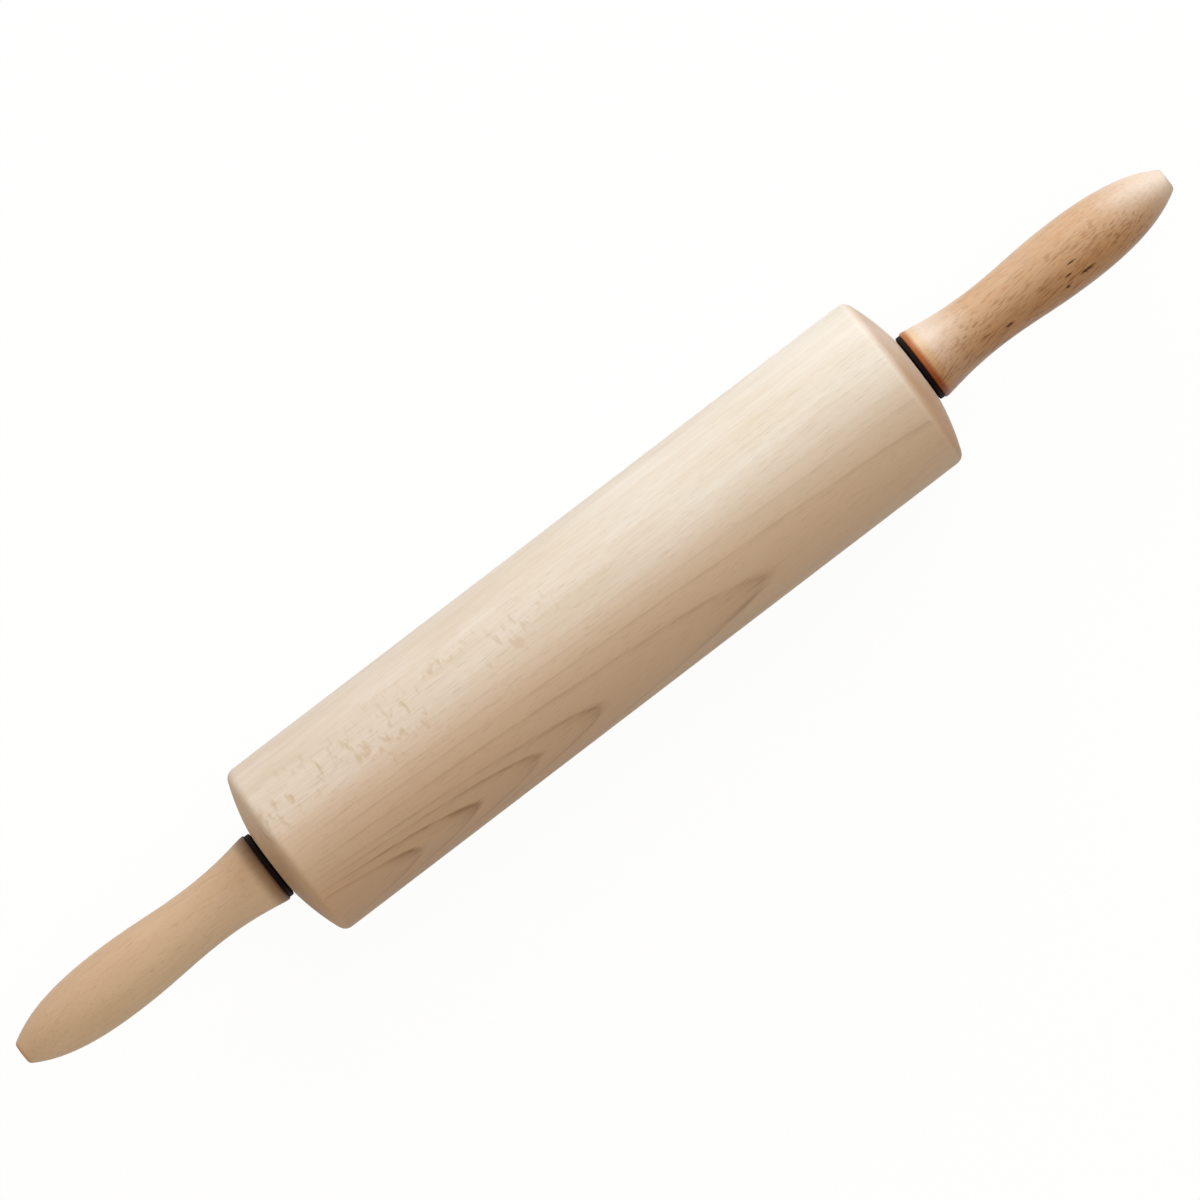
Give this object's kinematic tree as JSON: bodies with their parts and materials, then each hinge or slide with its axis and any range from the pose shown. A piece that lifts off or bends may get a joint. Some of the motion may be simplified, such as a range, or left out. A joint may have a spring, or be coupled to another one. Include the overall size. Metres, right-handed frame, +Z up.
{
  "type": "rolling pin",
  "caption": "Wooden rolling pin: a turned barrel with domed ends runs on ball bearings on a steel axle between two turned, waisted handles.",
  "frame": {"origin": "middle of the pin's length, under its axis, on the surface that the barrel rests on", "axes": "+X along the pin's axis towards the right handle, +Z up"},
  "size_m": [0.444, 0.061, 0.0609],
  "materials": {
    "barrel_beech": "sanded, bare",
    "handle_left_beech": "satin lacquer",
    "handle_right_beech": "satin lacquer",
    "collar_plastic": "matt",
    "axle_steel": "drawn",
    "bearing_steel": "ground",
    "ball_steel": "polished",
    "shield_steel": "pressed",
    "cage_nylon": "moulded"
  },
  "bodies": {
    "handles": {"axle": "axle_steel", "handle_left": "handle_left_beech", "thrust_collar_left": "collar_plastic", "bearing_inner_ring_left": "bearing_steel", "handle_right": "handle_right_beech", "thrust_collar_right": "collar_plastic", "bearing_inner_ring_right": "bearing_steel"},
    "barrel": {"barrel": "barrel_beech", "bearing_outer_ring_left": "bearing_steel", "bearing_shield_outer_left": "shield_steel", "bearing_shield_inner_left": "shield_steel", "bearing_outer_ring_right": "bearing_steel", "bearing_shield_outer_right": "shield_steel", "bearing_shield_inner_right": "shield_steel"},
    "cage_left": {"bearing_cage_left": "cage_nylon", "bearing_ball_left_1": "ball_steel", "bearing_ball_left_2": "ball_steel", "bearing_ball_left_3": "ball_steel", "bearing_ball_left_4": "ball_steel", "bearing_ball_left_5": "ball_steel", "bearing_ball_left_6": "ball_steel", "bearing_ball_left_7": "ball_steel"},
    "cage_right": {"bearing_cage_right": "cage_nylon", "bearing_ball_right_1": "ball_steel", "bearing_ball_right_2": "ball_steel", "bearing_ball_right_3": "ball_steel", "bearing_ball_right_4": "ball_steel", "bearing_ball_right_5": "ball_steel", "bearing_ball_right_6": "ball_steel", "bearing_ball_right_7": "ball_steel"}
  },
  "joints": [
    {"name": "barrel_spin", "type": "hinge", "parent": "handles", "child": "barrel", "pos_m": [0, 0, 0.03045], "axis": [1, 0, 0], "continuous": true},
    {"name": "cage_left_orbit", "type": "hinge", "parent": "handles", "child": "cage_left", "pos_m": [-0.121, 0, 0.03045], "axis": [1, 0, 0], "continuous": true},
    {"name": "cage_right_orbit", "type": "hinge", "parent": "handles", "child": "cage_right", "pos_m": [0.121, 0, 0.03045], "axis": [1, 0, 0], "continuous": true}
  ],
  "couplings": [
    {"joint": "cage_left_orbit", "follows": "barrel_spin", "ratio": 0.63142},
    {"joint": "cage_right_orbit", "follows": "barrel_spin", "ratio": 0.63142}
  ]
}
